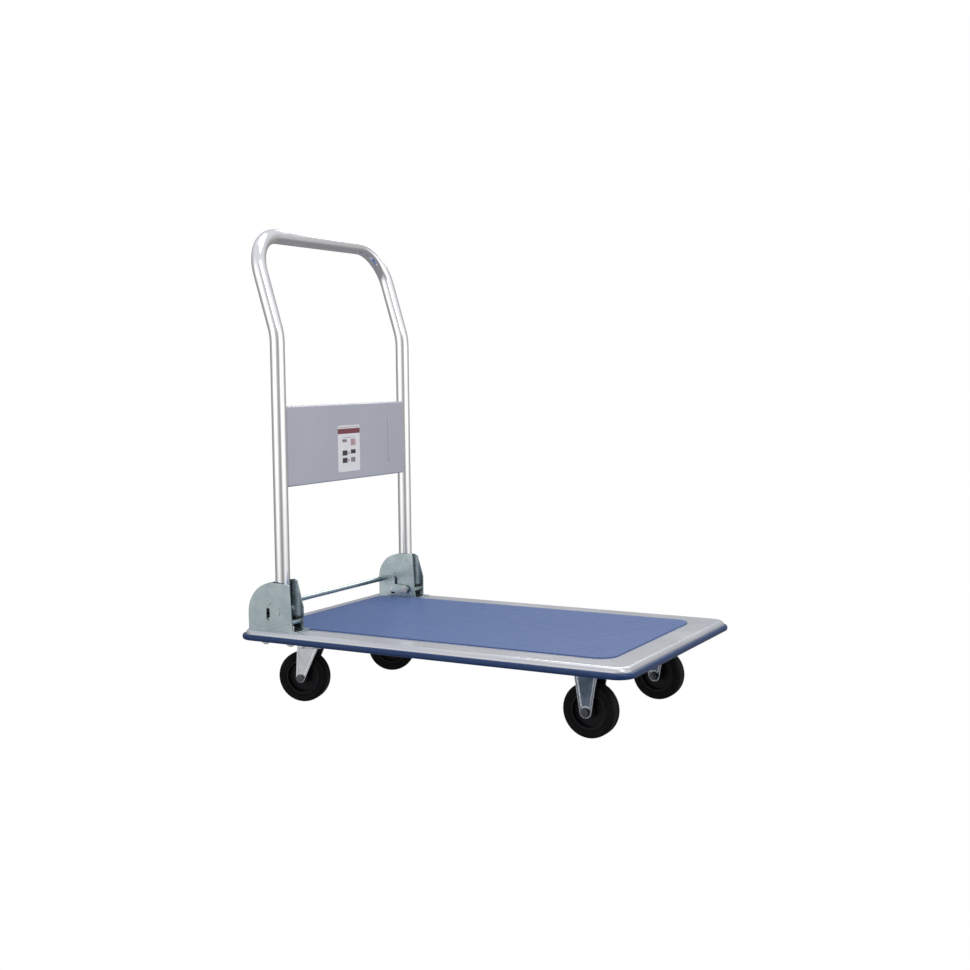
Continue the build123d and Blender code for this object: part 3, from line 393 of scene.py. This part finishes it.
def tyre(corner):
    """Moulded tyre spun round its axle: crowned tread, mould line and two side rings."""
    low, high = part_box(corner + "_tyre")
    middle = (Vector(low) + Vector(high)) / 2
    axis = Matrix.Rotation(math.radians(WHEEL_TURN[corner]), 3, "Z") @ Vector((0.0, 1.0, 0.0))
    half = tyre_section()
    section = half + [(radius, -offset) for radius, offset in reversed(half)]
    bm = bmesh.new()
    ring = []
    for radius, offset in section:
        ring.append(bm.verts.new(middle + axis * offset + Vector((0.0, 0.0, radius))))
    edges = [bm.edges.new(pair) for pair in zip(ring, ring[1:] + ring[:1])]
    bmesh.ops.spin(
        bm,
        geom=ring + edges,
        cent=middle,
        axis=axis,
        dvec=(0.0, 0.0, 0.0),
        angle=math.tau,
        steps=TYRE_STEPS,
        use_merge=True,
    )
    piece = keep(bm, corner + "_tyre_moulded", FINISHES["tyre_rubber"], corner + "_wheel")
    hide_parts(corner + "_tyre")


for corner in WHEEL_TURN:
    tyre(corner)


# ---- stage ------------------------------------------------------------------------
CAMERA_AZIMUTH = math.radians(29.034)
CAMERA_ELEVATION = math.radians(4.73)
CAMERA_ROLL = math.radians(-0.619)
CAMERA_DISTANCE = 2.4485
CAMERA_TARGET = Vector((-0.04596, 0.08336, 0.37289))
LENS = 50.016
SENSOR = 36.0
ROOM_POWER = 1.7
ROOM_TOP = (0.46, 0.47, 0.50, 1.0)
ROOM_FLOOR = (0.16, 0.16, 0.17, 1.0)
WHITE = (1.0, 1.0, 1.0, 1.0)
# Brightness of the room's walls round the truck: share of a full turn, and level.
ROOM_WALLS = (
    (0.0, 0.20),
    (0.09, 0.28),
    (0.15, 0.94),
    (0.245, 0.94),
    (0.30, 0.34),
    (0.37, 0.18),
    (0.41, 0.28),
    (0.46, 0.88),
    (0.57, 0.84),
    (0.64, 0.26),
    (0.83, 0.14),
    (0.93, 0.17),
    (1.0, 0.20),
)


def camera():
    """Low view from the truck's right side, slightly rolled."""
    az, el = CAMERA_AZIMUTH, CAMERA_ELEVATION
    back = Vector((math.sin(az) * math.cos(el), -math.cos(az) * math.cos(el), math.sin(el)))
    side = (-back).cross(Vector((0.0, 0.0, 1.0))).normalized()
    up = side.cross(-back)
    right = side * math.cos(CAMERA_ROLL) + up * math.sin(CAMERA_ROLL)
    upright = up * math.cos(CAMERA_ROLL) - side * math.sin(CAMERA_ROLL)
    turn = Matrix((right, upright, back)).transposed().to_4x4()
    lens = bpy.data.cameras.new("camera")
    lens.lens = LENS
    lens.sensor_width = SENSOR
    lens.clip_end = 100.0
    eye = bpy.data.objects.new("camera", lens)
    eye.matrix_world = Matrix.Translation(CAMERA_TARGET + back * CAMERA_DISTANCE) @ turn
    bpy.context.scene.collection.objects.link(eye)
    bpy.context.scene.camera = eye


def soft_box(name, place, aim, width, height, power):
    """Rectangular area light at a place, turned to its aim."""
    lamp = bpy.data.lights.new(name, "AREA")
    lamp.shape = "RECTANGLE"
    lamp.size = width
    lamp.size_y = height
    lamp.energy = power
    holder = bpy.data.objects.new(name, lamp)
    holder.location = place
    holder.rotation_euler = (Vector(aim) - Vector(place)).to_track_quat("-Z", "Y").to_euler()
    bpy.context.scene.collection.objects.link(holder)


def studio_world():
    """White to the camera; a soft grey room with bright sides to everything else."""
    world = bpy.data.worlds.new("studio")
    bpy.context.scene.world = world
    world.use_nodes = True
    tree = world.node_tree
    tree.nodes.clear()

    def put(kind, inputs=None, **settings):
        return add_node(tree, kind, inputs, **settings)

    direction = put("ShaderNodeTexCoord").outputs["Generated"]
    axes = put("ShaderNodeSeparateXYZ", {0: direction})
    turn = put("ShaderNodeMath", {0: axes.outputs["Y"], 1: axes.outputs["X"]}, operation="ARCTAN2")
    circle = {"Value": turn.outputs[0], "From Min": -math.pi, "From Max": math.pi}
    share = put("ShaderNodeMapRange", circle)
    ramp = put("ShaderNodeValToRGB", {"Fac": share.outputs["Result"]})
    ramp.color_ramp.interpolation = "B_SPLINE"
    elements = ramp.color_ramp.elements
    while len(elements) < len(ROOM_WALLS):
        elements.new(0.5)
    for element, (position, level) in zip(elements, ROOM_WALLS):
        element.position = position
        element.color = (level, level, level, 1.0)
    height = put("ShaderNodeMapRange", {"Value": axes.outputs["Z"], "From Min": 0.1, "From Max": 0.7})
    depth = put("ShaderNodeMapRange", {"Value": axes.outputs["Z"], "From Min": -0.02, "From Max": -0.35})
    sky = {0: height.outputs["Result"], 6: ramp.outputs[0], 7: ROOM_TOP}
    upper = put("ShaderNodeMix", sky, data_type="RGBA")
    ground = {0: depth.outputs["Result"], 6: upper.outputs[2], 7: ROOM_FLOOR}
    room = put("ShaderNodeMix", ground, data_type="RGBA")
    seen = put("ShaderNodeLightPath").outputs["Is Camera Ray"]
    shown = put("ShaderNodeMix", {0: seen, 6: room.outputs[2], 7: WHITE}, data_type="RGBA")
    power = put("ShaderNodeMapRange", {"Value": seen, "To Min": ROOM_POWER, "To Max": 1.0})
    light = put("ShaderNodeBackground", {"Color": shown.outputs[2], "Strength": power.outputs["Result"]})
    tree.links.new(light.outputs[0], put("ShaderNodeOutputWorld").inputs["Surface"])


def studio():
    camera()
    studio_world()
    soft_box("key", (2.4, -1.2, 2.6), (0.0, 0.0, 0.3), 1.6, 1.6, 26.0)
    soft_box("back", (-0.6, 2.6, 2.2), (0.0, 0.0, 0.2), 1.8, 0.9, 22.0)
    soft_box("top", (0.0, 0.2, 3.0), (0.0, 0.0, 0.0), 2.2, 1.4, 18.0)
    bpy.context.scene.view_settings.view_transform = "Standard"


studio()
